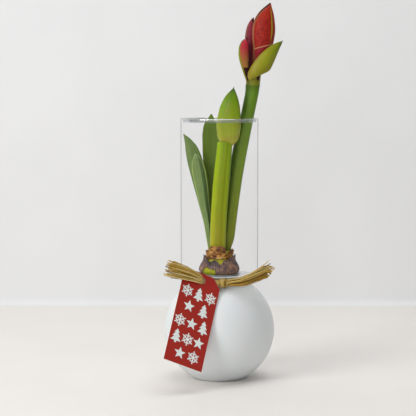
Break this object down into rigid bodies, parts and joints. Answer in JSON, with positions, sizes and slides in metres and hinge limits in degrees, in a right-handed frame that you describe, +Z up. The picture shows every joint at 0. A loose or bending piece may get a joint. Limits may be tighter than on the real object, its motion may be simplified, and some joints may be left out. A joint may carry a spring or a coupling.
{
  "type": "amaryllis in forcing vase",
  "caption": "Flowering bulb with scapes and leaves standing in the neck of a forcing vase: frosted globe below, clear cylinder above, tied with raffia and a gift tag.",
  "frame": {"origin": "centre of the flat face that the vase stands on", "axes": "+Z up through the neck and cylinder, +X to the right with the gift tag on the left of the front, -Y towards the front"},
  "size_m": [0.1624, 0.2037, 0.5102],
  "materials": {
    "blown_glass": "satin",
    "bulb_flesh": "satin",
    "papery_tunic": "matte",
    "dry_scale": "matte",
    "bulb_root": "satin",
    "leaf_blade": "satin",
    "front_scape_skin": "satin",
    "back_scape_skin": "satin",
    "spathe_bract": "satin",
    "tepal": "satin",
    "raffia": "matte",
    "printed_card": "matte"
  },
  "bodies": {
    "root": {"vase": "blown_glass", "bulb": "bulb_flesh", "bulb_tunic": "papery_tunic", "neck_scale_front": "dry_scale", "neck_scale_right": "dry_scale", "neck_scale_back": "dry_scale", "neck_scale_left": "dry_scale", "root_cluster": "bulb_root", "leaf_left_tall": "leaf_blade", "leaf_left_short": "leaf_blade", "leaf_middle": "leaf_blade", "front_scape": "front_scape_skin", "front_bract_left": "spathe_bract", "front_bract_right": "spathe_bract", "back_scape": "back_scape_skin", "main_bud": "tepal", "middle_bud": "tepal", "small_bud": "tepal", "main_bud_front_tepal": "tepal", "main_bud_back_tepal": "tepal", "main_bud_lower_tepal": "tepal", "middle_bud_outer_tepal": "tepal", "small_bud_outer_tepal": "tepal", "spathe_bract_left": "spathe_bract", "spathe_bract_right": "spathe_bract", "raffia_ring": "raffia", "raffia_knot": "raffia", "raffia_tail_right": "raffia", "raffia_tail_left": "raffia", "gift_tag": "printed_card"}
  },
  "joints": []
}
